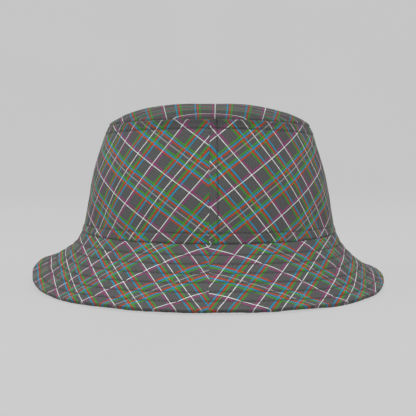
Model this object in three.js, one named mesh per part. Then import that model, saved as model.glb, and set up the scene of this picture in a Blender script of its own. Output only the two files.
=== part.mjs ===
// Bucket hat: two-panel crown, domed oval tip, stitched two-layer brim, lining, sweatband and labels.
// Millimetres, +Z up, front towards -Y, +X on the right seen from the front.
// The origin is the middle of the flat plane that the brim's edge rests on.
import * as THREE from "three";

// Crown: an oval that leans and rounds inwards from the base seam up to the tip seam.
const SEAM_HALF_WIDTH = 92.8;
const SEAM_HALF_DEPTH = 98.3;
const SEAM_HEIGHT = 36.5;
const CROWN_RISE = 78;
const CROWN_LEAN = 6.3;
const CROWN_ROUND = 11.5;
const DOME_RISE = 16;
const DOME_POWER = 0.68;

// Brim: falls from the base seam to its edge, flares towards the sides, and waves up off the table
// behind each side.
const BRIM_RUN = 35.2;
const BRIM_POWER = 1.12;
const FLARE = 3;
const WAVE_RISE = { left: 11, right: 7 };
const WAVE_SPREAD = 3.2;
const WAVE_CENTRE = THREE.MathUtils.degToRad(105);
const WAVE_HALF_SPAN = THREE.MathUtils.degToRad(45);

// Cloth build-up, measured level, inwards from the outer face.
const GAP = 0.3;
const SHELL_CLOTH = 0.8;
const LINING_CLOTH = 0.5;
const SWEATBAND_CLOTH = 1.2;
const SWEATBAND_HEIGHT = 0.4 * CROWN_RISE;
const SLOPE = Math.SQRT2; // level width of a unit of thickness on the brim's 45 degree slope
const INTERLINING_CLOTH = 0.55;

// Topstitching
const THREAD = 0.5;
const THREAD_CLEARANCE = 0.5;
const EDGE_MARGIN = 6.4; // a quarter inch from a seam
const SEAM_MARGIN = 5.6; // centre seam to its topstitch
const BRIM_ROWS = 6;
const FIRST_BRIM_ROW = 0.17; // fraction of the brim's width, from the base seam
const BRIM_ROW_STEP = 0.1385;

// Labels, both blank: one hangs from the sweatband's top edge, one is sewn flat on the lining.
const CARE_LABEL = { width: 24, thickness: 0.5, length: 40, standOff: 1.3 };
const SIZE_LABEL = { halfAngle: 0.2, lower: 0.46, upper: 0.7 };

const RING_STEPS = 48;
const CROWN_STEPS = 5;
const TIP_STEPS = 5;

const GROUND = 0x5a5a5a;
const hat = new THREE.Group();

function addPiece(name, geometry, color, roughness = 0.9) {
  const material = new THREE.MeshStandardMaterial({ color, roughness, metalness: 0 });
  const piece = new THREE.Mesh(geometry, material);
  piece.name = name;
  hat.add(piece);
  return piece;
}

function steps(from, to, count) {
  return Array.from({ length: count + 1 }, (_, i) => from + ((to - from) * i) / count);
}

// Angles run from the front (0) past the right side (90 degrees) to the back.
function oval(angle, halfWidth, halfDepth, height) {
  return new THREE.Vector3(halfWidth * Math.sin(angle), -halfDepth * Math.cos(angle), height);
}

// Point on the crown's side, rise 0 at the base seam to 1 at the tip seam.
function crownPoint(angle, rise, inset) {
  const drawnIn = CROWN_LEAN * rise + CROWN_ROUND * rise ** 2 + inset;
  const height = SEAM_HEIGHT + CROWN_RISE * rise;
  return oval(angle, SEAM_HALF_WIDTH - drawnIn, SEAM_HALF_DEPTH - drawnIn, height);
}

// Point on the domed tip, reach 0 at its middle to 1 at its seam.
function tipPoint(angle, reach, inset) {
  const drawnIn = CROWN_LEAN + CROWN_ROUND + inset;
  const dome = (DOME_RISE - inset) * (1 - reach ** 2) ** DOME_POWER;
  const height = SEAM_HEIGHT + CROWN_RISE + GAP / 2 + dome;
  return oval(angle, reach * (SEAM_HALF_WIDTH - drawnIn), reach * (SEAM_HALF_DEPTH - drawnIn), height);
}

// Strength of the brim's wave at an angle: 1 at its crest behind each side, 0 on the arcs that rest.
function waveAt(angle) {
  const fromFront = Math.abs(Math.atan2(Math.sin(angle), Math.cos(angle)));
  const offset = (fromFront - WAVE_CENTRE) / WAVE_HALF_SPAN;
  return Math.abs(offset) < 1 ? Math.cos((offset * Math.PI) / 2) ** 2 : 0;
}

// How far the brim sags below a straight slope at its lowest, which makes its outer part flare.
function flareAt(angle) {
  return FLARE * (1 - Math.cos(angle) ** 4) * (1 - 0.5 * Math.sin(angle) ** 6);
}

// Point on the brim, reach 0 at the base seam to 1 at the edge.
function brimPoint(angle, reach, inset) {
  const wave = waveAt(angle) * reach ** 2;
  const rise = Math.sin(angle) < 0 ? WAVE_RISE.left : WAVE_RISE.right;
  const sag = flareAt(angle) * (27 / 4) * reach ** 2 * (1 - reach);
  const out = BRIM_RUN * reach ** BRIM_POWER + WAVE_SPREAD * wave - inset;
  const height = (SEAM_HEIGHT - GAP) * (1 - reach) + rise * wave - sag;
  return oval(angle, SEAM_HALF_WIDTH + out, SEAM_HALF_DEPTH + out, height);
}

// A piece of cloth: a grid over a surface, closed between an outer and an inner inset.
// The stations run from the cloth's lower edge to its upper edge or its middle.
function cloth(surface, angles, stations, outerInset, innerInset) {
  const corners = [];
  const triangle = (a, b, c) => {
    if (a.distanceTo(b) > 1e-4 && b.distanceTo(c) > 1e-4 && c.distanceTo(a) > 1e-4) {
      corners.push(a, b, c);
    }
  };
  const quad = (a, b, c, d) => {
    triangle(a, b, c);
    triangle(a, c, d);
  };
  const outer = stations.map((station) => angles.map((angle) => surface(angle, station, outerInset)));
  const inner = stations.map((station) => angles.map((angle) => surface(angle, station, innerInset)));
  const top = stations.length - 1;
  const last = angles.length - 1;
  const isRing = outer[0][0].distanceTo(outer[0][last]) < 1e-4;

  for (let i = 0; i < last; i++) {
    for (let j = 0; j < top; j++) {
      quad(outer[j][i], outer[j][i + 1], outer[j + 1][i + 1], outer[j + 1][i]);
      quad(inner[j][i], inner[j + 1][i], inner[j + 1][i + 1], inner[j][i + 1]);
    }
    quad(inner[0][i], inner[0][i + 1], outer[0][i + 1], outer[0][i]);
    quad(outer[top][i], outer[top][i + 1], inner[top][i + 1], inner[top][i]);
  }
  for (let j = 0; j < top && !isRing; j++) {
    quad(inner[j][0], outer[j][0], outer[j + 1][0], inner[j + 1][0]);
    quad(outer[j][last], inner[j][last], inner[j + 1][last], outer[j + 1][last]);
  }
  return new THREE.BufferGeometry().setFromPoints(corners);
}

const ring = steps(0, 2 * Math.PI, RING_STEPS);

// The angles of one half, from the front centre seam to the back one, with half a gap at each end.
function halfAngles(side) {
  const halfGap = GAP / 2 / SEAM_HALF_WIDTH;
  const angles = steps(0, Math.PI, RING_STEPS / 2);
  angles[0] = halfGap;
  angles[angles.length - 1] = Math.PI - halfGap;
  return side === "right" ? angles : angles.map((angle) => -angle).reverse();
}

const edgeTrim = GAP / 2 / CROWN_RISE;
const crownStations = steps(0, 1, CROWN_STEPS);
crownStations[0] = edgeTrim;
crownStations[CROWN_STEPS] = 1 - edgeTrim;
const tipStations = steps(1, 0, TIP_STEPS);
const brimRows = steps(0, BRIM_ROWS - 1, BRIM_ROWS - 1).map((row) => FIRST_BRIM_ROW + BRIM_ROW_STEP * row);
const brimStations = [1, ...brimRows.toReversed(), 0];

const liningInset = SHELL_CLOTH + GAP;
const sweatbandInset = liningInset + LINING_CLOTH + GAP;
const interliningInset = (SHELL_CLOTH + GAP) * SLOPE;
const underInset = interliningInset + (INTERLINING_CLOTH + GAP) * SLOPE;

// Outer shell: tip, crown sides and the top of the brim, in the checked cloth.
function addShell() {
  addPiece("crown_top_panel", cloth(tipPoint, ring, tipStations, 0, SHELL_CLOTH), GROUND);
  for (const side of ["left", "right"]) {
    const half = halfAngles(side);
    addPiece(`crown_side_${side}`, cloth(crownPoint, half, crownStations, 0, SHELL_CLOTH), GROUND);
    addPiece(`brim_upper_${side}`, cloth(brimPoint, half, brimStations, 0, SHELL_CLOTH * SLOPE), GROUND);
  }
}

// Brim filling and underside.
function addBrimInside() {
  const stiffener = cloth(
    brimPoint,
    ring,
    brimStations,
    interliningInset,
    interliningInset + INTERLINING_CLOTH * SLOPE,
  );
  addPiece("brim_interlining", stiffener, 0xe8e6df);
  for (const side of ["left", "right"]) {
    const under = cloth(
      brimPoint,
      halfAngles(side),
      brimStations,
      underInset,
      underInset + SHELL_CLOTH * SLOPE,
    );
    addPiece(`brim_under_${side}`, under, GROUND);
  }
}

// Lining and sweatband inside the crown.
function addLining() {
  const inside = liningInset + LINING_CLOTH;
  addPiece("lining_top_panel", cloth(tipPoint, ring, tipStations, liningInset, inside), 0x26272a);
  for (const side of ["left", "right"]) {
    const panel = cloth(crownPoint, halfAngles(side), crownStations, liningInset, inside);
    addPiece(`lining_side_${side}`, panel, 0x26272a);
  }
  const bandStations = steps(edgeTrim, SWEATBAND_HEIGHT / CROWN_RISE, 2);
  const band = cloth(crownPoint, ring, bandStations, sweatbandInset, sweatbandInset + SWEATBAND_CLOTH);
  addPiece("sweatband", band, 0x1f2022);
}

// A row of thread along a surface, lying just clear of the cloth under it.
function threadRow(surface, angles, stations, clothFace = 0, direction = -1) {
  const near = clothFace + direction * THREAD_CLEARANCE;
  const far = near + direction * THREAD;
  return cloth(surface, angles, stations, Math.min(near, far), Math.max(near, far));
}

function addTopstitching() {
  const halfRow = THREAD / 2;
  const across = (middle, length) => [middle - halfRow / length, middle + halfRow / length];
  const baseRow = EDGE_MARGIN / CROWN_RISE;
  const brimWidth = Math.hypot(BRIM_RUN, SEAM_HEIGHT);

  addPiece("crown_top_stitch_row", threadRow(crownPoint, ring, across(1 - baseRow, CROWN_RISE)), 0x4c4c4c);
  addPiece("crown_base_stitch_row", threadRow(crownPoint, ring, across(baseRow, CROWN_RISE)), 0x4c4c4c);
  brimRows.forEach((reach, row) => {
    const [upper, lower] = across(reach, brimWidth);
    addPiece(`brim_stitch_row_${row + 1}`, threadRow(brimPoint, ring, [lower, upper]), 0x4c4c4c);
  });
  const upright = steps(baseRow * 1.2, 1 - baseRow * 1.2, CROWN_STEPS);
  for (const [name, centre] of [["front", 0], ["back", Math.PI]]) {
    const angles = across(centre + (SEAM_MARGIN * Math.cos(centre)) / SEAM_HALF_DEPTH, SEAM_HALF_DEPTH);
    addPiece(`${name}_seam_stitch_row`, threadRow(crownPoint, angles, upright), 0x4c4c4c);
  }
  const bandFace = sweatbandInset + SWEATBAND_CLOTH;
  const bandRow = threadRow(crownPoint, ring, across(0.04, CROWN_RISE), bandFace, 1);
  addPiece("sweatband_stitch_row", bandRow, 0x3a3a3a);
}

// The care label's top edge is sewn to the top of the sweatband at the back, and the label hangs free.
function addLabels() {
  const bandTop = SWEATBAND_HEIGHT / CROWN_RISE;
  const { width, thickness, length, standOff } = CARE_LABEL;
  const sewnEdge = crownPoint(Math.PI, bandTop, sweatbandInset + SWEATBAND_CLOTH + standOff);
  const care = new THREE.BoxGeometry(width, thickness, length);
  const careLabel = addPiece("care_label", care, 0xe9e7e1, 0.6);
  careLabel.position.set(0, sewnEdge.y - thickness / 2, sewnEdge.z - length / 2);

  const { halfAngle, lower, upper } = SIZE_LABEL;
  const labelAngles = steps(Math.PI - halfAngle, Math.PI + halfAngle, 4);
  const liningFace = liningInset + LINING_CLOTH + GAP;
  const size = cloth(crownPoint, labelAngles, [lower, upper], liningFace, liningFace + THREAD);
  addPiece("size_label", size, 0xe9e7e1, 0.6);
}

addShell();
addBrimInside();
addLining();
addTopstitching();
addLabels();

export default hat;
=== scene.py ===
import math
import random

import bpy
import numpy as np
from mathutils import Matrix, Vector


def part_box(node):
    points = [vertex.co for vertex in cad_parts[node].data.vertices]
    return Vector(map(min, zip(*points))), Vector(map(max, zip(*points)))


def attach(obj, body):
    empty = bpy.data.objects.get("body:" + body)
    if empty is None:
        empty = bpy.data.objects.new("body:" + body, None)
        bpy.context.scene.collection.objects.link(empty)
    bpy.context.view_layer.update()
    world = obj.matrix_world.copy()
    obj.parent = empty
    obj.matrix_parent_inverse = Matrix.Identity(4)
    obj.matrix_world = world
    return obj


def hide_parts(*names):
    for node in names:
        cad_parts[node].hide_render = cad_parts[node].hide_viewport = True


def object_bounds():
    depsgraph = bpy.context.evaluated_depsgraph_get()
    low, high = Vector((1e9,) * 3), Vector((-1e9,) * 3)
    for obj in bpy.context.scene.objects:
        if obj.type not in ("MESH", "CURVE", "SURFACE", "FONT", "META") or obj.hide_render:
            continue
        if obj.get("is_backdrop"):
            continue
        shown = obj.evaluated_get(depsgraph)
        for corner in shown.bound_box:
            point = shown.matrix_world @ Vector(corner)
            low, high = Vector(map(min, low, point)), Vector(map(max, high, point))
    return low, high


# The looks of the bucket hat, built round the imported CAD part. Shapes are worked out in millimetres in
# the part's own frame (+Z up, front towards -Y, origin in the middle of the plane that the brim's edge
# rests on) and put into the scene in metres.

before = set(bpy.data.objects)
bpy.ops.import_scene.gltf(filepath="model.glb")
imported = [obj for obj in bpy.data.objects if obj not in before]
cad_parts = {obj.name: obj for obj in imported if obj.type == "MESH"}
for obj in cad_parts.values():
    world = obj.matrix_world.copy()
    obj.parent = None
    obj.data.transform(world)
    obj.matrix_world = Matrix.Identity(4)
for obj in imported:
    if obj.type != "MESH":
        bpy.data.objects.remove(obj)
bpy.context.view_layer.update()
MM = 0.001
SEED = 11

# ---- Sizes, read from the CAD solids' boxes or repeated from the part ----


def box_mm(*nodes):
    """Lowest and highest corner of some CAD nodes together, in millimetres."""
    corners = [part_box(node) for node in nodes]
    low = np.min([np.array(low) for low, high in corners], axis=0)
    high = np.max([np.array(high) for low, high in corners], axis=0)
    return low / MM, high / MM


GAP = 0.3  # between neighbouring CAD solids
crown_low, crown_high = box_mm("crown_side_left", "crown_side_right")
brim_high = box_mm("brim_upper_left", "brim_upper_right")[1]
tip_low, tip_high = box_mm("crown_top_panel")

SEAM_HALF_WIDTH = (crown_high[0] - crown_low[0]) / 2
SEAM_HALF_DEPTH = (crown_high[1] - crown_low[1]) / 2
SEAM_HEIGHT = crown_low[2] - GAP / 2
CROWN_RISE = crown_high[2] - crown_low[2] + GAP
DOME_RISE = tip_high[2] - tip_low[2]
CROWN_LEAN = 6.3  # drawn in evenly over the crown's height
CROWN_ROUND = 11.5  # drawn in towards its top
DOME_POWER = 0.68
FRONT_LIFT = 0.9  # the tip's seam sits this much higher across the front

BRIM_RUN = brim_high[1] - SEAM_HALF_DEPTH
BRIM_POWER = 1.12
FLARE = 3.0  # sag of the brim between seam and edge
LEFT_FULLNESS = 2.6  # the left side sags less by this much
RIM_RAISE = 1.1
KICK_OUT = 0.7  # the brim carries the base seam out, and at the sides further out and up
SIDE_KICK_OUT = 0.8
SIDE_KICK_UP = 2.0
KICK_ON_CROWN = 11.0  # how far from the seam that reaches
KICK_ON_BRIM = 16.0
WAVE_RISE_LEFT = 11.0
WAVE_RISE_RIGHT = 7.0
WAVE_SPREAD_LEFT = 6.2
WAVE_SPREAD_RIGHT = 3.2
WAVE_CENTRE = math.radians(105)
WAVE_HALF_SPAN = math.radians(45)

# Distances along the cloth
CROWN_SLANT = math.hypot(CROWN_RISE, CROWN_LEAN + CROWN_ROUND)
BRIM_WIDTH = math.hypot(BRIM_RUN, SEAM_HEIGHT)
EDGE_MARGIN = 6.4  # topstitching to its seam
SEAM_MARGIN = 5.6  # topstitching to the centre seams
FIRST_BRIM_ROW = 0.17
BRIM_ROW_STEP = 0.1385
BRIM_ROWS = 6
LAST_BRIM_ROW = FIRST_BRIM_ROW + BRIM_ROW_STEP * (BRIM_ROWS - 1)

# Layers, measured square to the cloth, down from the shell's face
CLOTH = 0.75
LINING = (1.1, 1.5)
SWEATBAND = (1.85, 2.95)
SWEATBAND_TOP = 0.4  # share of the crown's height
INTERLINING = (1.14, 1.6)
UNDER_FACE = 2.75

STITCH_PITCH = 3.0
STITCH_VISIBLE = 2.45
THREAD_RADIUS = 0.21
BASE_ROW = EDGE_MARGIN / CROWN_SLANT  # rise of the topstitching above the base seam


# ---- Camera, made first: at the height of the crown's middle, a little to the left and tipped down ----

CAMERA_AT = (-0.0008, -0.5494, 0.0800)
CAMERA_PITCH = 0.0471
CAMERA_ROLL = 0.0050
CAMERA_LENS = 63.06


def add_camera():
    data = bpy.data.cameras.new("camera")
    data.lens = CAMERA_LENS
    data.sensor_width = 36
    data.clip_start = 0.01
    camera = bpy.data.objects.new("camera", data)
    bpy.context.scene.collection.objects.link(camera)
    upright = Matrix.Rotation(math.pi / 2 - CAMERA_PITCH, 4, "X")
    roll = Matrix.Rotation(CAMERA_ROLL, 4, "Z")
    camera.matrix_world = Matrix.Translation(CAMERA_AT) @ upright @ roll
    bpy.context.scene.camera = camera


add_camera()


# ---- Surfaces: an angle runs from the front (0) past the right side to the back (pi) ----


def oval(angle, half_width, half_depth, height):
    x = half_width * np.sin(angle)
    y = -half_depth * np.cos(angle)
    return np.stack(np.broadcast_arrays(x, y, height), axis=-1)


def front_lift(angle, share):
    return FRONT_LIFT * np.clip(np.cos(angle), 0, 1) ** 3 * share**4


def base_kick(angle, from_seam, span):
    """How far cloth this near the base seam is carried out, and how far up."""
    share = np.clip(1 - from_seam / span, 0, None) ** 2
    side = np.sin(angle) ** 4
    return share * (KICK_OUT + SIDE_KICK_OUT * side), share * SIDE_KICK_UP * side


def crown_point(angle, rise):
    kick_out, kick_up = base_kick(angle, rise * CROWN_SLANT, KICK_ON_CROWN)
    drawn_in = CROWN_LEAN * rise + CROWN_ROUND * rise**2 - kick_out
    height = SEAM_HEIGHT + CROWN_RISE * rise + front_lift(angle, rise) + kick_up
    return oval(angle, SEAM_HALF_WIDTH - drawn_in, SEAM_HALF_DEPTH - drawn_in, height)


def tip_point(angle, reach):
    drawn_in = CROWN_LEAN + CROWN_ROUND
    dome = DOME_RISE * np.clip(1 - reach**2, 0, None) ** DOME_POWER
    height = SEAM_HEIGHT + CROWN_RISE + GAP / 2 + dome + front_lift(angle, reach)
    return oval(
        angle,
        reach * (SEAM_HALF_WIDTH - drawn_in),
        reach * (SEAM_HALF_DEPTH - drawn_in),
        height,
    )


HUMP_SCALE = 27 / 4  # makes the highest value of x * x * (1 - x) one


def brim_point(angle, reach):
    reach = np.clip(reach, 0, None)
    from_front = np.abs(np.arctan2(np.sin(angle), np.cos(angle)))
    offset = np.clip((from_front - WAVE_CENTRE) / WAVE_HALF_SPAN, -1, 1)
    wave = np.cos(offset * np.pi / 2) ** 2 * reach**2
    wave_rise = np.where(np.sin(angle) < 0, WAVE_RISE_LEFT, WAVE_RISE_RIGHT)
    wave_spread = np.where(np.sin(angle) < 0, WAVE_SPREAD_LEFT, WAVE_SPREAD_RIGHT)
    flare = FLARE * (1 - np.cos(angle) ** 4) * (1 - 0.5 * np.sin(angle) ** 6)
    fuller = np.where(np.sin(angle) < 0, LEFT_FULLNESS * np.sin(angle) ** 4, 0)
    sag = (flare - fuller) * HUMP_SCALE * reach**2 * (1 - reach)
    kick_out, kick_up = base_kick(angle, reach * BRIM_WIDTH, KICK_ON_BRIM)
    out = BRIM_RUN * reach**BRIM_POWER + wave_spread * wave + kick_out
    droop = (SEAM_HEIGHT - GAP) * (1 - reach) - sag
    height = droop + wave_rise * wave + RIM_RAISE * reach**3 + kick_up
    return oval(angle, SEAM_HALF_WIDTH + out, SEAM_HALF_DEPTH + out, height)


STEP = 1e-4  # of angle or station, for slopes


def unit(vectors):
    return vectors / np.linalg.norm(vectors, axis=-1, keepdims=True)


def round_tangent(surface, angle, station):
    return surface(angle + STEP, station) - surface(angle - STEP, station)


def climb_tangent(surface, angle, station):
    return surface(angle, station + STEP) - surface(angle, station - STEP)


def facing(surface, angle, station, upward):
    """Unit normals pointing out of the hat. upward is 1 where the station climbs, or -1."""
    along = round_tangent(surface, angle, station)
    return unit(np.cross(along, upward * climb_tangent(surface, angle, station)))


ARC_ANGLES = np.linspace(-math.pi, math.pi, 7201)


def running_total(steps):
    return np.concatenate([[0], np.cumsum(steps)])


def distances_from_front():
    """Distance round the base seam from its front, at each of ARC_ANGLES."""
    steps = np.hypot(
        np.diff(SEAM_HALF_WIDTH * np.sin(ARC_ANGLES)),
        np.diff(SEAM_HALF_DEPTH * np.cos(ARC_ANGLES)),
    )
    run = running_total(steps)
    return run - np.interp(0, ARC_ANGLES, run)


SEAM_ARC = distances_from_front()
HALF_ROUND = SEAM_ARC[-1]


def seam_arc(angle):
    return np.interp(angle, ARC_ANGLES, SEAM_ARC)


def angle_at(arc):
    return np.interp(arc, SEAM_ARC, ARC_ANGLES)


# ---- Relief: what sewing does to the cloth, as a height in millimetres square to it ----


def smooth(value, start, end):
    share = np.clip((value - start) / (end - start), 0, 1)
    return share * share * (3 - 2 * share)


def ripple_set(seed, count, shortest, longest):
    draw = random.Random(seed)
    waves = []
    for _ in range(count):
        length = draw.uniform(shortest, longest)
        direction = np.array([draw.gauss(0, 1) for _ in range(3)])
        direction *= 2 * math.pi / length / np.linalg.norm(direction)
        waves.append((direction, draw.uniform(0, 2 * math.pi)))
    return waves


def ripples(points, waves):
    total = sum(np.sin(points @ direction + phase) for direction, phase in waves)
    return total / math.sqrt(len(waves))


SEAM_DEPTH = 0.8
CENTRE_SEAM_DEPTH = 0.12
BASE_SEAM_DEPTH = 0.2
FURROW_DEPTH = 0.62  # under a topstitch row
FURROW_SPREAD = 0.6
ALLOWANCE_LIFT = 0.3  # the seam allowance lifts the cloth over it
DEEPEST_CROWN = 1.15  # limits where furrows cross
DEEPEST_BRIM_TOP = 1.3
DEEPEST_BRIM_UNDER = 1.0
BASE_LAP = 0.15  # the crown's edge reaches this far below the middle of the base seam
TOP_OVERHANG = 0.6  # at the front the crown's top edge stands out, at the sides it is drawn in
TOP_DRAWN_IN = 0.5
TIP_SHOULDER = 1.2
SLANT_OVER_DOME = 1.35  # way over the dome to the way across it
FOLDS_START = 9.0  # folds grow from a seam to their full height over this distance
SOFT_FOLDS = ripple_set(SEED, 7, 28, 75)
FINE_FOLDS = ripple_set(SEED + 1, 9, 7, 16)


def bell(distance, spread):
    return np.exp(-((distance / spread) ** 2))


def open_seam_relief(distance, depth=SEAM_DEPTH):
    """Cloth that turns down into a seam, with nothing stitched down on this side of it."""
    return -depth * bell(distance, FURROW_SPREAD)


def seam_relief(distance, margin, depth=SEAM_DEPTH):
    """Cloth beside a seam whose allowance is stitched down under it, margin away."""
    past_row = smooth(distance, margin - 0.1, margin + 1.2)
    allowance = ALLOWANCE_LIFT * smooth(distance, 0.3, 1.5) * (1 - past_row)
    furrow = -FURROW_DEPTH * bell(distance - margin, FURROW_SPREAD)
    return open_seam_relief(distance, depth) + allowance + furrow


def fold_relief(points, soft, fine):
    return soft * ripples(points, SOFT_FOLDS) + fine * ripples(points, FINE_FOLDS)


def uneven_wave(arc, length, sway, sway_length, phase=0.0):
    """A sine wave round the hat whose waves are now longer, now shorter."""
    return np.sin(2 * math.pi * arc / length + phase + sway * np.sin(arc / sway_length + phase))


def crown_relief(angle, rise):
    arc = seam_arc(angle)
    from_front = np.abs(arc)
    from_back = HALF_ROUND - np.abs(arc)
    from_base = rise * CROWN_SLANT
    from_top = (1 - rise) * CROWN_SLANT
    relief = 0
    for distance in (from_front, from_back):
        stitched = seam_relief(distance, SEAM_MARGIN, CENTRE_SEAM_DEPTH)
        plain = open_seam_relief(distance, CENTRE_SEAM_DEPTH)
        relief = relief + np.where(arc > 0, stitched, plain)
    relief = relief + seam_relief(from_base, EDGE_MARGIN, BASE_SEAM_DEPTH)
    relief = relief + seam_relief(from_top, EDGE_MARGIN)
    lean_out = TOP_OVERHANG * np.cos(angle) ** 2 - TOP_DRAWN_IN * np.sin(angle) ** 4
    overhang = lean_out * smooth(from_top, -1.0, 1.6) * (1 - smooth(from_top, 1.4, EDGE_MARGIN))
    relief = np.maximum(relief, -DEEPEST_CROWN) + overhang
    near_row = bell(from_base - EDGE_MARGIN, 3) + bell(from_top - EDGE_MARGIN, 3)
    pucker = 0.05 * uneven_wave(arc, 4.1, 1.7, 9) * near_row
    folds = fold_relief(crown_point(angle, rise), 0.42, 0.07)
    return relief + pucker + folds * smooth(np.minimum(from_base, from_top), 0, FOLDS_START)


def tip_relief(angle, reach):
    from_seam = (1 - reach) * (SEAM_HALF_WIDTH - CROWN_LEAN - CROWN_ROUND) * SLANT_OVER_DOME
    gather = 0.07 * uneven_wave(seam_arc(angle), 5.3, 2, 11) * bell(from_seam - 2.5, 2.2)
    shoulder = TIP_SHOULDER * np.sin(math.pi * np.clip((reach - 0.3) / 0.69, 0, 1))
    folds = fold_relief(tip_point(angle, reach), 0.35, 0.06)
    return open_seam_relief(from_seam) + gather + shoulder + folds * smooth(from_seam, 0, FOLDS_START)


CHANNEL_PHASES = [
    random.Random(SEED + 40 + channel).uniform(0, 6.28) for channel in range(BRIM_ROWS + 1)
]
BRIM_GROWTH = 0.36  # how much longer the brim is round its edge than round its seam
CHANNEL_PUFF = 0.24
CHANNEL_FURROW = 0.36
CHANNEL_PUCKER = 0.055
EDGE_ROLL_RADIUS = 1.5
EDGE_ROLL_DEPTH = 1.15


def brim_row_at(reach):
    """Where a reach lies counted in stitch rows, and its distance from the nearest row."""
    row = (reach - FIRST_BRIM_ROW) / BRIM_ROW_STEP
    nearest = np.clip(np.round(row), 0, BRIM_ROWS - 1)
    return row, np.abs(row - nearest) * BRIM_ROW_STEP * BRIM_WIDTH


def brim_relief(angle, reach, deepest=DEEPEST_BRIM_TOP):
    """Quilting of the brim: channels that stand up between the stitch rows."""
    growth = 1 + BRIM_GROWTH * reach
    arc = seam_arc(angle) * growth
    row, off_row = brim_row_at(reach)
    between = np.sin(math.pi * (row - np.floor(row))) ** 2
    inner = np.sin(math.pi * np.clip(reach / FIRST_BRIM_ROW, 0, 1)) ** 2
    outer = smooth(reach, LAST_BRIM_ROW, LAST_BRIM_ROW + 0.07)
    puff = np.where(reach < FIRST_BRIM_ROW, inner, np.where(reach > LAST_BRIM_ROW, outer, between))
    channel = np.clip(np.floor(row) + 1, 0, BRIM_ROWS).astype(int)
    phase = np.array(CHANNEL_PHASES)[channel]
    pucker = uneven_wave(arc, 5.7, 1.9, 13, phase)
    pucker = pucker + 0.6 * np.sin(2 * math.pi * arc / 3.1 + 2 * phase)
    relief = CHANNEL_PUFF * puff - CHANNEL_FURROW * bell(off_row, FURROW_SPREAD)
    relief = relief + CHANNEL_PUCKER * pucker * puff
    from_front = np.abs(arc)
    from_back = HALF_ROUND * growth - from_front
    for distance in (from_front, from_back):
        relief = relief + open_seam_relief(distance, CENTRE_SEAM_DEPTH)
    relief = relief + open_seam_relief(reach * BRIM_WIDTH, BASE_SEAM_DEPTH)
    from_edge = np.clip((1 - reach) * BRIM_WIDTH, 0, None)
    rolled = np.clip(1 - from_edge / EDGE_ROLL_RADIUS, 0, 1)
    relief = relief - EDGE_ROLL_DEPTH * (1 - np.sqrt(np.clip(1 - rolled**2, 0, 1)))
    return np.maximum(relief, -deepest)


def brim_sway(angle, reach):
    """Slight unevenness of the whole brim, the same for all its layers."""
    points = brim_point(angle, reach)
    soft = 0.4 * ripples(points, SOFT_FOLDS) * smooth(reach, 0.05, 0.6)
    return soft + 0.1 * ripples(points, FINE_FOLDS) * reach


def brim_top_height(angle, reach):
    return brim_relief(angle, reach) + brim_sway(angle, reach)


def brim_under_height(angle, reach):
    return brim_sway(angle, reach) - UNDER_FACE - brim_relief(angle, reach, DEEPEST_BRIM_UNDER) + CLOTH


# ---- Cloth coordinates: where each point of a panel lies on the flat cloth, in repeats of its check ----

# Radius of the base seam's edge once a crown side, or half the brim, is laid flat as part of a cone
CROWN_FLAT_RADIUS = HALF_ROUND / math.pi * CROWN_SLANT / (CROWN_LEAN + CROWN_ROUND)
BRIM_FLAT_RADIUS = HALF_ROUND / math.pi * BRIM_WIDTH / BRIM_RUN

# How the check lies on each panel. For each of its two stripe families: the way across the stripes
# (degrees from +X, panel laid flat), the repeat, and where one strong white stripe runs. On a crown or
# brim panel that is its height on the front seam, up from the base seam. On the tip, which is cut
# square to the front, it is how far the stripe lies from the middle, the way across.
SEAM_GRAIN = {
    "crown_left": ((52, 31, 23), (320, 32, 47)),
    "crown_right": ((130, 32.5, 22.5), (41, 33.5, 24)),
    "brim_left": ((290, 32, -2), (211, 28, -27)),
    "brim_right": ((256, 33.5, -3.5), (148, 30, -33.5)),
}
TIP_GRAIN = ((270, 31.3, 79.5), (180, 31.3, -3.3))


def across_stripes(flat_x, flat_y, degrees):
    turn = math.radians(degrees)
    return flat_x * math.cos(turn) + flat_y * math.sin(turn)


def on_cloth(flat_x, flat_y, grain):
    """Repeats across each family. grain: way across (degrees), repeat, a strong stripe's distance."""
    families = [
        (across_stripes(flat_x, flat_y, degrees) - distance) / repeat for degrees, repeat, distance in grain
    ]
    return np.stack(families, axis=-1)


def cone_cloth(angle, flat_radius, from_seam, panel):
    """Cloth coordinates of a panel laid flat as part of a cone, its front seam on the flat Y axis."""
    turn = seam_arc(angle) / flat_radius
    radius = flat_radius + from_seam
    grain = [
        (degrees, repeat, across_stripes(0, meets, degrees)) for degrees, repeat, meets in SEAM_GRAIN[panel]
    ]
    return on_cloth(radius * np.sin(turn), flat_radius - radius * np.cos(turn), grain)


def crown_cloth(angle, rise, panel):
    return cone_cloth(angle, CROWN_FLAT_RADIUS, -CROWN_SLANT * rise, panel)


BRIM_EASE = 0.13  # at its sides the brim's cloth is drawn in on the right and let out on the left
EASE_START = math.radians(55)
EASE_FULL = math.radians(100)


def brim_cloth(angle, reach, panel):
    ease = BRIM_EASE * np.sign(angle) * smooth(np.abs(angle), EASE_START, EASE_FULL)
    return cone_cloth(angle, BRIM_FLAT_RADIUS, BRIM_WIDTH * reach * (1 + ease), panel)


TIP_STRETCH = 0.14  # the dome's middle shows this share less of its cloth from side to side
OVER_EDGE = 3.4  # cloth taken up where the tip turns down to its seam


def tip_cloth(angle, reach):
    points = tip_point(angle, reach)
    inward = 1 - reach**4
    over_edge = OVER_EDGE * smooth(reach, 0.8, 1.0) * reach
    flat_x = points[..., 0] * (1 - TIP_STRETCH * inward)
    flat_y = points[..., 1] - over_edge * np.cos(angle)
    return on_cloth(flat_x, flat_y, TIP_GRAIN)


# ---- Meshes ----


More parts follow.
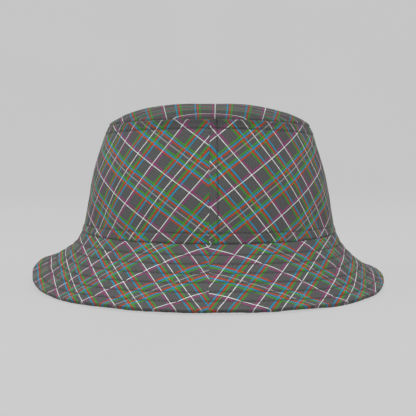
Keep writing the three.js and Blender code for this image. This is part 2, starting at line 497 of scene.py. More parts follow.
def new_object(name, points, faces, uvs=None, wear=None, shade=None, sharp=40):
    mesh = bpy.data.meshes.new(name)
    mesh.from_pydata((np.asarray(points) * MM).tolist(), [], faces)
    if uvs is not None:
        layer = mesh.uv_layers.new(name="cloth")
        corner_vertices = np.zeros(len(mesh.loops), dtype=np.int32)
        mesh.loops.foreach_get("vertex_index", corner_vertices)
        layer.data.foreach_set("uv", np.asarray(uvs)[corner_vertices].astype(np.float32).ravel())
    # wear is the cloth rubbed pale at its edges; shade is painted shade that darkens the colour.
    for label, values in (("wear", wear), ("shade", shade)):
        if values is not None:
            attribute = mesh.attributes.new(label, "FLOAT", "POINT")
            attribute.data.foreach_set("value", np.asarray(values).astype(np.float32).ravel())
    mesh.polygons.foreach_set("use_smooth", [True] * len(mesh.polygons))
    mesh.set_sharp_from_angle(angle=math.radians(sharp))
    mesh.update()
    piece = bpy.data.objects.new(name, mesh)
    bpy.context.scene.collection.objects.link(piece)
    return piece


def shell_faces(rows, columns, ring):
    """Quads of a closed cloth: a face grid, then a back grid, joined round the edge."""
    face = np.arange(rows * columns).reshape(rows, columns)
    back = face + rows * columns
    if ring:
        face = np.concatenate([face, face[:, :1]], axis=1)
        back = np.concatenate([back, back[:, :1]], axis=1)

    def quads(a, b, c, d):
        return np.stack([a, b, c, d], axis=-1).reshape(-1, 4)

    parts = [
        quads(face[:-1, :-1], face[:-1, 1:], face[1:, 1:], face[1:, :-1]),
        quads(back[:-1, :-1], back[1:, :-1], back[1:, 1:], back[:-1, 1:]),
        quads(back[0, :-1], back[0, 1:], face[0, 1:], face[0, :-1]),
        quads(face[-1, :-1], face[-1, 1:], back[-1, 1:], back[-1, :-1]),
    ]
    if not ring:
        parts.append(quads(back[:-1, 0], face[:-1, 0], face[1:, 0], back[1:, 0]))
        parts.append(quads(face[:-1, -1], back[:-1, -1], back[1:, -1], face[1:, -1]))
    return np.concatenate(parts).tolist()


def tube_faces(start, rings, sides):
    """Quads between the rings of a tube, whose points begin at vertex number start."""
    faces = []
    for ring in range(rings - 1):
        for side in range(sides):
            a = start + ring * sides + side
            b = start + ring * sides + (side + 1) % sides
            faces.append([a, b, b + sides, a + sides])
    return faces


def none_of(angle, station):
    return np.zeros_like(angle)


def cloth_piece(
    name, surface, angles, stations, face_height, thickness, uv_of,
    wear_of=none_of, shade_of=none_of, ring=False,
):
    """A closed piece of cloth: its face stands face_height(angle, station) off the surface."""
    angle, station = np.meshgrid(angles, stations)
    points = surface(angle, station)
    normal = facing(surface, angle, station, 1 if surface is crown_point else -1)
    height = face_height(angle, station)[..., None]
    face = points + normal * height
    back = points + normal * (height - thickness)
    return new_object(
        name,
        np.concatenate([face.reshape(-1, 3), back.reshape(-1, 3)]),
        shell_faces(*angle.shape, ring),
        np.concatenate([uv_of(angle, station).reshape(-1, 2)] * 2),
        np.concatenate([wear_of(angle, station).ravel()] * 2),
        np.concatenate([shade_of(angle, station).ravel()] * 2),
    )


def graded(length, fine_bands, fine, coarse):
    """Stations from 0 to length, closer together within the fine bands (start, end)."""
    stations = [0.0]
    while stations[-1] < length:
        at = stations[-1]
        inside = any(start - 0.01 <= at < end for start, end in fine_bands)
        ahead = min([start - at for start, end in fine_bands if start > at + 0.01] + [length])
        stations.append(at + (fine if inside else min(coarse, max(ahead, fine))))
    stations = np.array(stations)
    return stations * (length / stations[-1])


CENTRE_TRIM = 0.04  # each half stops this far short of the centre seams


def half_angles(side):
    """Angles of one half, from the front centre seam to the back one."""
    beside_seams = [(0, 8), (HALF_ROUND - 8, HALF_ROUND)]
    arcs = graded(HALF_ROUND - 2 * CENTRE_TRIM, beside_seams, 0.45, 1.25)
    angles = angle_at(arcs + CENTRE_TRIM)
    return angles if side == "right" else -angles[::-1]


def ring_angles(count):
    return np.linspace(-math.pi, math.pi, count, endpoint=False)


def flat_uv(angle, station):
    """Plain cloth coordinates in millimetres: round the hat and up or across it."""
    return np.stack([seam_arc(angle), station * CROWN_SLANT], axis=-1)


# ---- Materials ----


class Nodes:
    """Short calls for building a material's node tree."""

    def __init__(self, name):
        self.material = bpy.data.materials.new(name)
        self.material.use_nodes = True
        self.tree = self.material.node_tree
        self.tree.nodes.clear()
        self.shader = self.node("ShaderNodeBsdfPrincipled")
        output = self.node("ShaderNodeOutputMaterial")
        self.link(self.shader.outputs[0], output.inputs["Surface"])

    def node(self, kind, **settings):
        made = self.tree.nodes.new(kind)
        for key, value in settings.items():
            setattr(made, key, value)
        return made

    def link(self, source, target):
        self.tree.links.new(source, target)

    def put(self, target, value):
        """Give a socket a constant, or join it to another socket."""
        if isinstance(value, bpy.types.NodeSocket):
            self.link(value, target)
        else:
            target.default_value = value

    def math(self, operation, a, b=0.0, c=0.0, clamp=False):
        made = self.node("ShaderNodeMath", operation=operation, use_clamp=clamp)
        for socket, value in zip(made.inputs, (a, b, c)):
            self.put(socket, value)
        return made.outputs[0]

    def mix(self, share, a, b, blend="MIX"):
        made = self.node("ShaderNodeMix", data_type="RGBA", blend_type=blend)
        self.put(made.inputs[0], share)
        self.put(made.inputs[6], a)
        self.put(made.inputs[7], b)
        return made.outputs[2]

    def noise(self, vector, scale, detail=2.0, roughness=0.5):
        made = self.node("ShaderNodeTexNoise")
        self.put(made.inputs["Vector"], vector)
        made.inputs["Scale"].default_value = scale
        made.inputs["Detail"].default_value = detail
        made.inputs["Roughness"].default_value = roughness
        return made.outputs["Fac"]

    def ramp(self, share, stops):
        made = self.node("ShaderNodeValToRGB")
        made.color_ramp.interpolation = "CONSTANT"
        elements = made.color_ramp.elements
        while len(elements) < len(stops):
            elements.new(0.5)
        for element, (place, colour) in zip(elements, stops):
            element.position = place
            element.color = colour
        self.put(made.inputs[0], share)
        return made.outputs["Color"], made.outputs["Alpha"]

    def range(self, value, low, high):
        made = self.node("ShaderNodeMapRange")
        self.put(made.inputs["Value"], value)
        made.inputs["To Min"].default_value = low
        made.inputs["To Max"].default_value = high
        return made.outputs["Result"]

    def bump(self, height, distance, strength=1.0):
        made = self.node("ShaderNodeBump")
        made.inputs["Strength"].default_value = strength
        made.inputs["Distance"].default_value = distance
        self.put(made.inputs["Height"], height)
        self.link(made.outputs[0], self.shader.inputs["Normal"])

    def uv(self):
        made = self.node("ShaderNodeUVMap", uv_map="cloth")
        parts = self.node("ShaderNodeSeparateXYZ")
        self.link(made.outputs[0], parts.inputs[0])
        return made.outputs[0], parts.outputs[0], parts.outputs[1]

    def position(self):
        return self.node("ShaderNodeTexCoord").outputs["Object"]

    def attribute(self, name):
        return self.node("ShaderNodeAttribute", attribute_name=name).outputs["Fac"]

    def surface(self, **values):
        """Constant values of the shader's inputs, such as sheen_weight=0.1."""
        for name, value in values.items():
            label = name.replace("_", " ").title().replace("Ior", "IOR")
            self.shader.inputs[label].default_value = value


def rgba(red, green, blue, alpha=1.0):
    return (red, green, blue, alpha)


# Colours of the checked cloth
WHITE = (0.71, 0.71, 0.70)
PALE = (0.30, 0.29, 0.28)
MAGENTA = (0.255, 0.036, 0.150)
ORANGE = (0.455, 0.047, 0.001)
BLUE = (0.001, 0.260, 0.445)
GREEN = (0.040, 0.270, 0.010)
GROUND_DARK = (0.058, 0.059, 0.059)
GROUND_LIGHT = (0.106, 0.107, 0.106)
WORN = (0.30, 0.30, 0.30)

REPEAT = 31.2

# Stripes across one repeat of each family: colour, start and end in millimetres
STRIPES_ONE = [
    (WHITE, 0.14, 0.67),
    (MAGENTA, 1.4, 2.15),
    (ORANGE, 10.6, 11.42),
    (BLUE, 11.84, 12.66),
    (GREEN, 13.22, 14.06),
    (PALE, 16.95, 17.6),
    (ORANGE, 19.38, 20.2),
    (BLUE, 20.7, 21.52),
    (GREEN, 22.08, 22.92),
]
THIN_WHITE = (WHITE, 17.65, 18.15)
STRIPES_TWO = [
    (WHITE, 0.14, 0.67),
    (MAGENTA, 1.4, 2.15),
    (GREEN, 9.24, 10.08),
    (ORANGE, 10.58, 11.4),
    (BLUE, 12.04, 12.86),
    THIN_WHITE,
    (GREEN, 20.84, 21.68),
    (ORANGE, 22.18, 23.0),
    (BLUE, 23.78, 24.6),
]
STRIPE_LEAD = 0.9  # the repeat starts this far before the strong white stripe
YARNS = 96.0  # yarns in one repeat
WHITE_EARLY = 0.45  # the strong white stripe starts this far before its grain line
STRIPE_COVER = 0.93  # how much of a stripe its own yarns cover where it crosses the ground


def stripe_stops(stripes):
    """Colour ramp stops: each stripe's colour, and alpha 1 on the stripe and 0 beside it."""
    stops = [(0.0, rgba(0, 0, 0, 0))]
    for colour, start, end in stripes:
        stops.append(((start + STRIPE_LEAD) / REPEAT, rgba(*colour)))
        stops.append(((end + STRIPE_LEAD) / REPEAT, rgba(*colour, 0.0)))
    return stops


def checked_twill(name, stripes_one, stripes_two):
    n = Nodes(name)
    vector, u, v = n.uv()
    position = n.position()
    start = (STRIPE_LEAD + WHITE_EARLY) / REPEAT
    warp_at = n.math("FRACT", n.math("ADD", u, start))
    weft_at = n.math("FRACT", n.math("ADD", v, start))
    warp_stripe, warp_mask = n.ramp(warp_at, stripe_stops(stripes_one))
    weft_stripe, weft_mask = n.ramp(weft_at, stripe_stops(stripes_two))

    warp_yarn = n.math("MULTIPLY", u, YARNS)
    weft_yarn = n.math("MULTIPLY", v, YARNS)
    uneven = n.math("MULTIPLY", n.math("SUBTRACT", n.noise(vector, 60.0), 0.5), 2.0)
    diagonal = n.math("ADD", n.math("SUBTRACT", warp_yarn, weft_yarn), uneven)
    wale = n.math("SINE", n.math("MULTIPLY", diagonal, math.pi / 2))
    warp_round = n.math("ABSOLUTE", n.math("SINE", n.math("MULTIPLY", warp_yarn, math.pi)))
    weft_round = n.math("ABSOLUTE", n.math("SINE", n.math("MULTIPLY", weft_yarn, math.pi)))

    lean = n.math("MULTIPLY", n.math("SUBTRACT", weft_mask, warp_mask), STRIPE_COVER - 0.5)
    over = n.math("ADD", n.math("MULTIPLY_ADD", wale, 0.22, 0.5), lean, clamp=True)

    tone = n.noise(position, 55.0, 3.0)
    slub = n.noise(vector, 170.0, 2.0)
    twill_tone = n.math("MULTIPLY_ADD", wale, 0.32, n.math("MULTIPLY_ADD", slub, 0.7, 0.15), clamp=True)
    ground = n.mix(twill_tone, rgba(*GROUND_DARK), rgba(*GROUND_LIGHT))
    warp = n.mix(warp_mask, ground, warp_stripe)
    weft = n.mix(weft_mask, ground, weft_stripe)
    colour = n.mix(over, warp, weft)

    worn = n.math("MULTIPLY", n.attribute("wear"), n.math("MULTIPLY_ADD", tone, 0.6, 0.2), clamp=True)
    colour = n.mix(worn, colour, rgba(*WORN))
    tones = n.math("MULTIPLY_ADD", tone, 0.16, 0.92)
    yarn_tones = n.math("MULTIPLY_ADD", n.math("MULTIPLY", wale, slub), 0.10, 1.0)
    # Painted shade: the shade attribute darkens the colour in the furrows, beside the seams, under the
    # tip's edge, over the whole tip and round the brim's rim; below it is multiplied with the cloth's own
    # random tone.
    painted_shade_factor = n.math("SUBTRACT", 1.0, n.attribute("shade"))
    shade = n.math("MULTIPLY", n.math("MULTIPLY", tones, yarn_tones), painted_shade_factor)
    grey = n.node("ShaderNodeCombineColor")
    for socket in grey.inputs:
        n.link(shade, socket)
    colour = n.mix(1.0, colour, grey.outputs[0], "MULTIPLY")
    n.link(colour, n.shader.inputs["Base Color"])

    relief = n.math("MULTIPLY_ADD", wale, 0.5, 0.5)
    yarns = n.mix(over, warp_round, weft_round)
    height = n.math("ADD", n.math("MULTIPLY", relief, 0.7), n.math("MULTIPLY", yarns, 0.5))
    n.bump(height, 0.10 * MM, 0.5)
    n.link(n.range(slub, 0.80, 0.97), n.shader.inputs["Roughness"])
    n.surface(sheen_weight=0.02, sheen_roughness=0.5, specular_ior_level=0.12)
    return n.material


def plain_weave(name, warp_colour, weft_colour, yarn_mm, roughness, bump_mm, twill=False, sheen=0.1):
    """A plain or twilled cloth whose cloth coordinates are in millimetres."""
    n = Nodes(name)
    vector, u, v = n.uv()
    warp = n.math("MULTIPLY", u, math.pi / yarn_mm)
    weft = n.math("MULTIPLY", v, math.pi / yarn_mm)
    over = n.math("MULTIPLY", n.math("SINE", warp), n.math("SINE", weft))
    if twill:
        over = n.math("SINE", n.math("MULTIPLY", n.math("ADD", warp, weft), 0.5))
    share = n.math("MULTIPLY_ADD", over, 0.8, 0.5, clamp=True)
    slub = n.noise(vector, 0.9, 3.0)
    tone = n.noise(n.position(), 70.0, 3.0)
    colour = n.mix(share, warp_colour, weft_colour)
    lighter = rgba(*[min(1, 1.8 * channel) for channel in weft_colour[:3]])
    darker = rgba(*[0.5 * channel for channel in warp_colour[:3]])
    colour = n.mix(n.math("MULTIPLY", slub, 0.35), colour, lighter)
    colour = n.mix(n.math("MULTIPLY", tone, 0.35), colour, darker)
    n.link(colour, n.shader.inputs["Base Color"])
    n.bump(n.math("ADD", share, n.math("MULTIPLY", slub, 0.5)), bump_mm * MM, 0.6)
    n.link(n.range(slub, roughness - 0.1, roughness + 0.08), n.shader.inputs["Roughness"])
    n.surface(sheen_weight=sheen, specular_ior_level=0.3)
    return n.material


def felt(name):
    n = Nodes(name)
    position = n.position()
    fibres = n.noise(position, 900.0, 5.0, 0.7)
    patches = n.noise(position, 160.0, 3.0)
    colour = n.mix(fibres, rgba(0.52, 0.51, 0.47), rgba(0.80, 0.79, 0.74))
    colour = n.mix(n.math("MULTIPLY", patches, 0.3), colour, rgba(0.62, 0.60, 0.54))
    n.link(colour, n.shader.inputs["Base Color"])
    n.bump(fibres, 0.12 * MM, 0.7)
    n.link(n.range(patches, 0.85, 0.98), n.shader.inputs["Roughness"])
    return n.material


def thread(name, dark, light):
    """Two-ply sewing thread. Its cloth coordinates run along it (u) and round it (v)."""
    n = Nodes(name)
    _, u, v = n.uv()
    ply = n.math("SINE", n.math("ADD", n.math("MULTIPLY", u, 7.5), n.math("MULTIPLY", v, 6.0)))
    share = n.math("MULTIPLY_ADD", ply, 0.5, 0.5)
    fuzz = n.noise(n.position(), 2600.0, 2.0)
    colour = n.mix(share, dark, light)
    colour = n.mix(n.math("MULTIPLY", fuzz, 0.4), colour, dark)
    n.link(colour, n.shader.inputs["Base Color"])
    n.bump(n.math("ADD", share, n.math("MULTIPLY", fuzz, 0.4)), 0.08 * MM, 0.8)
    n.link(n.range(fuzz, 0.5, 0.72), n.shader.inputs["Roughness"])
    n.surface(sheen_weight=0.1)
    return n.material


BACKDROP_GLOW = 0.51


def backdrop(name):
    n = Nodes(name)
    patches = n.noise(n.position(), 3.0, 3.0)
    colour = n.mix(patches, rgba(0.055, 0.055, 0.055), rgba(0.075, 0.075, 0.075))
    n.link(colour, n.shader.inputs["Base Color"])
    n.link(n.range(patches, 0.8, 0.95), n.shader.inputs["Roughness"])
    n.surface(specular_ior_level=0.1, emission_color=rgba(1, 1, 1), emission_strength=BACKDROP_GLOW)
    return n.material


TWILL = checked_twill("checked_twill", STRIPES_ONE, STRIPES_TWO)
TIP_STRIPES_TWO = [stripe for stripe in STRIPES_TWO if stripe != THIN_WHITE]
TIP_TWILL = checked_twill("checked_twill_tip", STRIPES_ONE, TIP_STRIPES_TWO)
LINING_CLOTH = plain_weave(
    "lining_cloth", rgba(0.020, 0.021, 0.024), rgba(0.042, 0.043, 0.047), 0.42, 0.62, 0.05, sheen=0.2
)
BAND_CLOTH = plain_weave(
    "sweatband_cloth", rgba(0.010, 0.010, 0.012), rgba(0.030, 0.030, 0.033), 0.8, 0.85, 0.14, twill=True
)
LABEL_TAPE = plain_weave(
    "label_tape", rgba(0.62, 0.61, 0.58), rgba(0.78, 0.77, 0.74), 0.35, 0.48, 0.04, twill=True, sheen=0.25
)
FELT = felt("interlining")
THREAD = thread("thread", rgba(0.045, 0.045, 0.046), rgba(0.115, 0.115, 0.117))
BAND_THREAD = thread("sweatband_thread", rgba(0.03, 0.03, 0.032), rgba(0.09, 0.09, 0.095))


def finish_piece(piece, material, slot, *nodes, body="hat"):
    piece.data.materials.append(material)
    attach(piece, body)
    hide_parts(*nodes)
    return piece


# ---- Outer shell ----

BESIDE_EDGE = 8.5
CROWN_STATIONS = (
    graded(CROWN_SLANT, [(0, BESIDE_EDGE), (CROWN_SLANT - BESIDE_EDGE, CROWN_SLANT)], 0.42, 1.3) - BASE_LAP
) / CROWN_SLANT
BRIM_STATIONS = 1 - graded(BRIM_WIDTH - 0.15, [(0, 2.4)], 0.25, 0.55) / BRIM_WIDTH


def crown_wear(angle, rise):
    """How far the cloth's edges are rubbed pale."""
    from_top = (1 - rise) * CROWN_SLANT
    from_base = rise * CROWN_SLANT
    return 0.16 * bell(from_top - 1.2, 1.0) + 0.1 * bell(from_base - 1.2, 0.9)


def brim_wear(angle, reach):
    return 0.22 * bell((1 - reach) * BRIM_WIDTH, 1.6)


def crown_shade(angle, rise):
    """Painted shade: how much less light the cloth gets in its furrows, at the front of the base seam and
    just under the tip's seam, darkened into its colour.
    """
    from_top = (1 - rise) * CROWN_SLANT
    from_base = rise * CROWN_SLANT
    arc = seam_arc(angle)

    def row(distance, margin):
        return bell(distance - margin, 0.55)

    upright = row(arc, SEAM_MARGIN) + row(HALF_ROUND - arc, SEAM_MARGIN)
    rows = row(from_top, EDGE_MARGIN) + row(from_base, EDGE_MARGIN) + np.where(arc > 0, upright, 0)
    facing_front = 0.35 + 0.65 * np.clip(np.cos(angle), 0, 1) ** 2
    under_tip = (1 - smooth(from_top, 0.5, EDGE_MARGIN + 0.6)) * facing_front
    at_base = (1 - smooth(from_base, 0.15, 0.7)) * smooth(np.cos(angle), -0.2, 0.7)
    return 0.3 * rows + 0.42 * under_tip + 0.45 * at_base


# Painted shade: darkens the brim's colour along its stitch rows and in a band round its rim.
def brim_shade(angle, reach):
    off_row = brim_row_at(reach)[1]
    from_edge = (1 - reach) * BRIM_WIDTH
    painted_rim_shade = 0.3 * (1 - smooth(from_edge, 0.1, 1.2)) + 0.06 * (1 - smooth(from_edge, 0, 4.5))
    return 0.5 * bell(off_row, 0.5) + painted_rim_shade


# Painted shade: darkens the whole tip's colour, more near its front edge, to take down the light it gets
# from above.
def tip_shade(angle, reach):
    return 0.2 + 0.14 * smooth(reach, 0.75, 0.95) * np.clip(np.cos(angle), 0, 1)


def brim_cloth_piece(name, side, face_height):
    return cloth_piece(
        name,
        brim_point,
        half_angles(side),
        BRIM_STATIONS,
        face_height,
        CLOTH,
        lambda angle, reach: brim_cloth(angle, reach, f"brim_{side}"),
        brim_wear,
        brim_shade,
    )


def add_sides():
    for side in ("left", "right"):
        piece = cloth_piece(
            f"crown_side_{side}_cloth",
            crown_point,
            half_angles(side),
            CROWN_STATIONS,
            crown_relief,
            CLOTH,
            lambda angle, rise: crown_cloth(angle, rise, f"crown_{side}"),
            crown_wear,
            crown_shade,
        )
        finish_piece(piece, TWILL, "checked_twill", f"crown_side_{side}")

        piece = brim_cloth_piece(f"brim_upper_{side}_cloth", side, brim_top_height)
        finish_piece(piece, TWILL, "checked_twill", f"brim_upper_{side}")


TIP_COLUMNS = 520


def add_tip():
    """The tip's cloth: rings that close in a fan of triangles at the middle, on both faces."""
    stations = 1 - graded(0.98, [(0, 0.16)], 0.006, 0.017)
    angle, reach = np.meshgrid(ring_angles(TIP_COLUMNS), stations)
    points = tip_point(angle, reach)
    normal = facing(tip_point, angle, reach, -1)
    normal[0] = facing(tip_point, angle[0], reach[0] - 2e-3, -1)  # the slope is endless at the very edge
    height = tip_relief(angle, reach)[..., None]
    face = (points + normal * height).reshape(-1, 3)
    back = (points + normal * (height - CLOTH)).reshape(-1, 3)
    uv = tip_cloth(angle, reach).reshape(-1, 2)

    size = angle.size
    inner_ring = size - TIP_COLUMNS
    faces = shell_faces(*angle.shape, True)[: 2 * inner_ring + TIP_COLUMNS]
    for column in range(TIP_COLUMNS):
        here = inner_ring + column
        following = inner_ring + (column + 1) % TIP_COLUMNS
        faces.append([here, following, 2 * size])
        faces.append([size + following, size + here, 2 * size + 1])
    middle = np.array([[0, 0, side[-TIP_COLUMNS:, 2].mean()] for side in (face, back)])
    middle_uv = tip_cloth(np.zeros(1), np.zeros(1))
    wear = 0.18 * bell(1 - reach.ravel(), 0.03)
    shade = tip_shade(angle, reach).ravel()
    piece = new_object(
        "crown_top_panel_cloth",
        np.concatenate([face, back, middle]),
        faces,
        np.concatenate([uv, uv, middle_uv, middle_uv]),
        np.concatenate([wear, wear, np.zeros(2)]),
        np.concatenate([shade, shade, tip_shade(0, np.zeros(2))]),
    )
    finish_piece(piece, TIP_TWILL, "checked_twill", "crown_top_panel")


# ---- Brim filling and underside ----


def add_brim_inside():
    stations = 1 - (graded(BRIM_WIDTH - 0.6, [], 1.0, 2.2) + 0.4) / BRIM_WIDTH
    piece = cloth_piece(
        "brim_interlining_felt",
        brim_point,
        ring_angles(300),
        stations,
        lambda angle, reach: brim_sway(angle, reach) - INTERLINING[0],
        INTERLINING[1] - INTERLINING[0],
        flat_uv,
        ring=True,
    )
    finish_piece(piece, FELT, "interlining", "brim_interlining")

    for side in ("left", "right"):
        piece = brim_cloth_piece(f"brim_under_{side}_cloth", side, brim_under_height)
        finish_piece(piece, TWILL, "checked_twill", f"brim_under_{side}")


# ---- Lining, sweatband and labels ----

LINING_FOLDS = ripple_set(SEED + 2, 8, 14, 40)
LINING_TRIM = 0.15  # the lining and sweatband stop this far short of the seams
BAND_ROW = 0.04  # rise of the stitches that hold the sweatband


def lining_height(angle, rise):
    """The lining follows the crown, and hangs a little slack above the sweatband."""
    points = crown_point(angle, rise)
    slack = 0.25 * (1 + ripples(points, LINING_FOLDS)) * smooth(rise, 0.42, 0.55)
    return crown_relief(angle, rise) - LINING[0] - np.clip(slack, 0, 1.2)


def add_lining():
    stations = np.linspace(LINING_TRIM / CROWN_SLANT, 1 - LINING_TRIM / CROWN_SLANT, 74)
    for side in ("left", "right"):
        piece = cloth_piece(
            f"lining_side_{side}_cloth",
            crown_point,
            half_angles(side),
            stations,
            lining_height,
            LINING[1] - LINING[0],
            flat_uv,
        )
        finish_piece(piece, LINING_CLOTH, "lining_cloth", f"lining_side_{side}")

    tip_stations = 1 - graded(0.985, [(0, 0.1)], 0.01, 0.03)
    piece = cloth_piece(
        "lining_top_panel_cloth",
        tip_point,
        ring_angles(260),
        np.clip(tip_stations - 0.012, 0.002, 1),
        lambda angle, reach: tip_relief(angle, reach) - LINING[0],
        LINING[1] - LINING[0],
        lambda angle, reach: tip_point(angle, reach)[..., :2],
        ring=True,
    )
    finish_piece(piece, LINING_CLOTH, "lining_cloth", "lining_top_panel")


def band_height(angle, rise):
    pressed_row = 0.1 * bell((rise - BAND_ROW) * CROWN_SLANT, 0.8)
    return crown_relief(angle, rise) - SWEATBAND[0] + pressed_row


def add_sweatband():
    stations = graded(SWEATBAND_TOP * CROWN_SLANT - 2 * LINING_TRIM, [(0, 5)], 0.4, 1.1)
    piece = cloth_piece(
        "sweatband_cloth",
        crown_point,
        ring_angles(560),
        (stations + LINING_TRIM) / CROWN_SLANT,
        band_height,
        SWEATBAND[1] - SWEATBAND[0],
        flat_uv,
        ring=True,
    )
    finish_piece(piece, BAND_CLOTH, "sweatband_cloth", "sweatband")


def label_grid(name, width, length, place):
    """A woven label: a fine closed grid. place(across, down) gives its face and its back."""
    across, down = np.meshgrid(np.linspace(-0.5, 0.5, 41), np.linspace(0, 1, 61))
    face, back = place(across * width, down * length)
    uv = np.stack([across * width, down * length], axis=-1)
    return new_object(
        name,
        np.concatenate([face.reshape(-1, 3), back.reshape(-1, 3)]),
        shell_faces(*across.shape, False),
        np.concatenate([uv.reshape(-1, 2)] * 2),
    )


CARE_THICKNESS = 0.42
CARE_CURL = 0.3  # the care label's free end leans this far towards the middle of the hat
CARE_TWIST = 0.096
HEM_PRESS = 0.16  # depth of the line pressed in at each hem
HEM_AT = 2.2  # from both ends
SIZE_THICKNESS = 0.34
SIZE_GAP = 0.12  # between the size label and the lining
SIZE_PILLOW = 0.12
SIZE_HALF_ANGLE = 0.2
SIZE_LOWER = 0.46  # rises of the size label's edges
SIZE_UPPER = 0.7


def add_care_label():
    low, high = box_mm("care_label")
    width = high[0] - low[0]
    length = high[2] - low[2]
    outer_y = (low[1] + high[1]) / 2 + CARE_THICKNESS / 2

    def place(across, down):
        share = down / length
        y = outer_y - CARE_CURL * share**2 - CARE_TWIST * np.sin(across / width * math.pi) * share
        hems = HEM_PRESS * (bell(down - HEM_AT, 0.5) + bell(down - length + HEM_AT, 0.5))
        inner = np.stack([across, y - CARE_THICKNESS + hems, high[2] - down], axis=-1)
        outer = np.stack([across, y, high[2] - down], axis=-1)
        return inner, outer

    piece = label_grid("care_label_tape", width, length, place)
    finish_piece(piece, LABEL_TAPE, "label_tape", "care_label", body="care_label_flap")


def add_size_label():
    low, high = box_mm("size_label")
    width = high[0] - low[0]
    length = (SIZE_UPPER - SIZE_LOWER) * CROWN_SLANT

    def place(across, down):
        angle = math.pi - across / width * 2 * SIZE_HALF_ANGLE
        rise = SIZE_UPPER - down / length * (SIZE_UPPER - SIZE_LOWER)
        points = crown_point(angle, rise)
        normal = facing(crown_point, angle, rise, 1)
        lining_back = lining_height(angle, rise)[..., None] - (LINING[1] - LINING[0])
        height = lining_back - SIZE_GAP - SIZE_PILLOW * np.sin(math.pi * down / length)[..., None]
        return points + normal * height, points + normal * (height - SIZE_THICKNESS)

    piece = label_grid("size_label_tape", width, length, place)
    finish_piece(piece, LABEL_TAPE, "label_tape", "size_label")


# ---- Topstitching: separate stitches that dive into the cloth at both ends ----

STITCH_RINGS = 7
STITCH_SIDES = 6
STITCH_WANDER = 0.08
STITCH_UNEVENNESS = 0.12
STITCH_SLANT = (0.10, 0.22)
STITCH_PROUD = 0.55 * THREAD_RADIUS  # the thread's middle above the cloth, halfway along a stitch
STITCH_DIVE = 0.5  # how far it sinks at both ends
SHORT_OF_ROWS = 1.2  # the upright rows start this many margins from the base and tip seams


def stitches(node, place, length, material, seed):
    """Stitches along a path. place(distance, height) gives points height above the cloth's face."""
    draw = random.Random(seed)
    count = int(round(length / STITCH_PITCH))
    pitch = length / count
    points, faces, uvs = [], [], []
    turn = np.linspace(0, 2 * math.pi, STITCH_SIDES, endpoint=False)
    share = np.linspace(-1, 1, STITCH_RINGS)
    lift = STITCH_PROUD - STITCH_DIVE * np.abs(share) ** 3.2
    radius = THREAD_RADIUS * np.sqrt(np.clip(1.02 - np.abs(share) ** 6, 0.02, 1))
    for index in range(count):
        middle = (index + 0.5) * pitch + draw.uniform(-STITCH_WANDER, STITCH_WANDER)
        visible = STITCH_VISIBLE + draw.uniform(-STITCH_UNEVENNESS, STITCH_UNEVENNESS)
        slant = draw.uniform(*STITCH_SLANT)
        along = middle + share * visible / 2
        centre, across, normal = place(along, lift)
        centre = centre + across * (slant * share)[:, None]
        ring = (
            centre[:, None]
            + across[:, None] * (np.cos(turn)[None, :, None] * radius[:, None, None])
            + normal[:, None] * (np.sin(turn)[None, :, None] * radius[:, None, None])
        )
        start = len(points)
        points.extend(ring.reshape(-1, 3))
        along_and_round = np.broadcast_arrays(along[:, None], (turn * THREAD_RADIUS)[None, :])
        uvs.extend(np.stack(along_and_round, axis=-1).reshape(-1, 2))
        faces.extend(tube_faces(start, STITCH_RINGS, STITCH_SIDES))
        faces.append([start + side for side in reversed(range(STITCH_SIDES))])
        last = start + (STITCH_RINGS - 1) * STITCH_SIDES
        faces.append([last + side for side in range(STITCH_SIDES)])
    piece = new_object(f"{node}_thread", np.array(points), faces, np.array(uvs), sharp=75)
    finish_piece(piece, material, "thread", node)


def distances_along(line):
    return running_total(np.linalg.norm(np.diff(line, axis=0), axis=1))


def round_path(surface, upward, station, relief, outward=1):
    """A path round the hat at one station, and its length."""
    run = distances_along(surface(ARC_ANGLES, np.full_like(ARC_ANGLES, station)))

    def place(along, lift):
        angle = np.interp(along, run, ARC_ANGLES)
        at = np.full_like(angle, station)
        normal = facing(surface, angle, at, upward)
        base = surface(angle, at) + normal * relief(angle, at)[:, None]
        normal = normal * outward
        across = np.cross(normal, unit(round_tangent(surface, angle, at)))
        return base + normal * lift[:, None], across, normal

    return place, run[-1]


def upright_path(centre):
    """A path up the crown beside the centre seam at an angle, on the hat's right, and its length."""
    stations = np.linspace(BASE_ROW * SHORT_OF_ROWS, 1 - BASE_ROW * SHORT_OF_ROWS, 400)
    angle = centre + SEAM_MARGIN * math.cos(centre) / SEAM_HALF_DEPTH
    run = distances_along(crown_point(np.full_like(stations, angle), stations))

    def place(along, lift):
        rise = np.interp(along, run, stations)
        at = np.full_like(rise, angle)
        normal = facing(crown_point, at, rise, 1)
        base = crown_point(at, rise) + normal * crown_relief(at, rise)[:, None]
        across = np.cross(normal, unit(climb_tangent(crown_point, at, rise)))
        return base + normal * lift[:, None], across, normal

    return place, run[-1]


def band_face(angle, rise):
    return crown_relief(angle, rise) - SWEATBAND[1] + 0.1


def add_topstitching():
    rows = [
        ("crown_top_stitch_row", crown_point, 1, 1 - BASE_ROW, crown_relief),
        ("crown_base_stitch_row", crown_point, 1, BASE_ROW, crown_relief),
    ]
    for row in range(BRIM_ROWS):
        reach = FIRST_BRIM_ROW + BRIM_ROW_STEP * row
        rows.append((f"brim_stitch_row_{row + 1}", brim_point, -1, reach, brim_top_height))
    for number, (node, *path) in enumerate(rows):
        stitches(node, *round_path(*path), THREAD, SEED + number)
    for node, centre in (("front_seam_stitch_row", 0.0), ("back_seam_stitch_row", math.pi)):
        stitches(node, *upright_path(centre), THREAD, SEED + 20)
    path = round_path(crown_point, 1, BAND_ROW, band_face, outward=-1)
    stitches("sweatband_stitch_row", *path, BAND_THREAD, SEED + 30)


# ---- Stage and light ----

INNER_RING = 0.02
FLOOR_RADIUS = 1.8
WALL_CURVE = 0.8
WALL_TOP = 2.0
STAGE_SIDES = 96


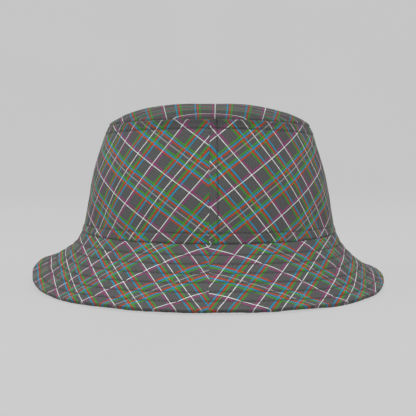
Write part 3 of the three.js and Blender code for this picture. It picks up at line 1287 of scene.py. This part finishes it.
def add_stage(height):
    """A pale round floor that curves up into a pale wall all round, in metres."""
    profile = [(INNER_RING, 0.0), (FLOOR_RADIUS, 0.0)]
    for turn in np.linspace(0, math.pi / 2, 25)[1:]:
        profile.append((FLOOR_RADIUS + WALL_CURVE * math.sin(turn), WALL_CURVE * (1 - math.cos(turn))))
    profile.append((FLOOR_RADIUS + WALL_CURVE, WALL_TOP))
    radius, rise = np.array(profile).T
    turn = np.linspace(0, 2 * math.pi, STAGE_SIDES, endpoint=False)
    x = radius[:, None] * np.cos(turn)
    y = radius[:, None] * np.sin(turn)
    points = np.stack(np.broadcast_arrays(x, y, (rise + height)[:, None]), axis=-1).reshape(-1, 3)
    faces = tube_faces(0, len(profile), STAGE_SIDES)
    faces.append(list(range(STAGE_SIDES))[::-1])
    floor = new_object("floor", points / MM, faces)
    floor.data.materials.append(backdrop("backdrop"))
    floor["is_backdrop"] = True


AIM = (0, 0, 0.06)
LIGHT_SIZE = 1.2
SKY_STRENGTH = 0.42
LIGHTS = [  # name, place, watts
    ("top", (0.0, -0.35, 1.6), 16),
    ("front", (-0.2, -1.5, 0.8), 4.2),
    ("left", (-2.1, -0.75, 0.8), 15.6),
    ("right", (2.1, -0.9, 0.8), 9.4),
]


def add_light(name, at, watts):
    data = bpy.data.lights.new(name, "AREA")
    data.shape = "DISK"
    data.size = LIGHT_SIZE
    data.energy = watts
    light = bpy.data.objects.new(name, data)
    bpy.context.scene.collection.objects.link(light)
    direction = Vector(AIM) - Vector(at)
    light.rotation_mode = "QUATERNION"
    light.rotation_quaternion = direction.to_track_quat("-Z", "Y")
    light.location = at


def add_lights():
    world = bpy.data.worlds.new("studio")
    bpy.context.scene.world = world
    world.use_nodes = True
    background = world.node_tree.nodes["Background"]
    background.inputs["Color"].default_value = (1, 1, 1, 1)
    background.inputs["Strength"].default_value = SKY_STRENGTH
    for light in LIGHTS:
        add_light(*light)
    bpy.context.scene.view_settings.view_transform = "Standard"
    bpy.context.scene.view_settings.look = "None"


add_lights()
add_sides()
add_tip()
add_brim_inside()
add_lining()
add_sweatband()
add_care_label()
add_size_label()
add_topstitching()
add_stage(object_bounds()[0][2])
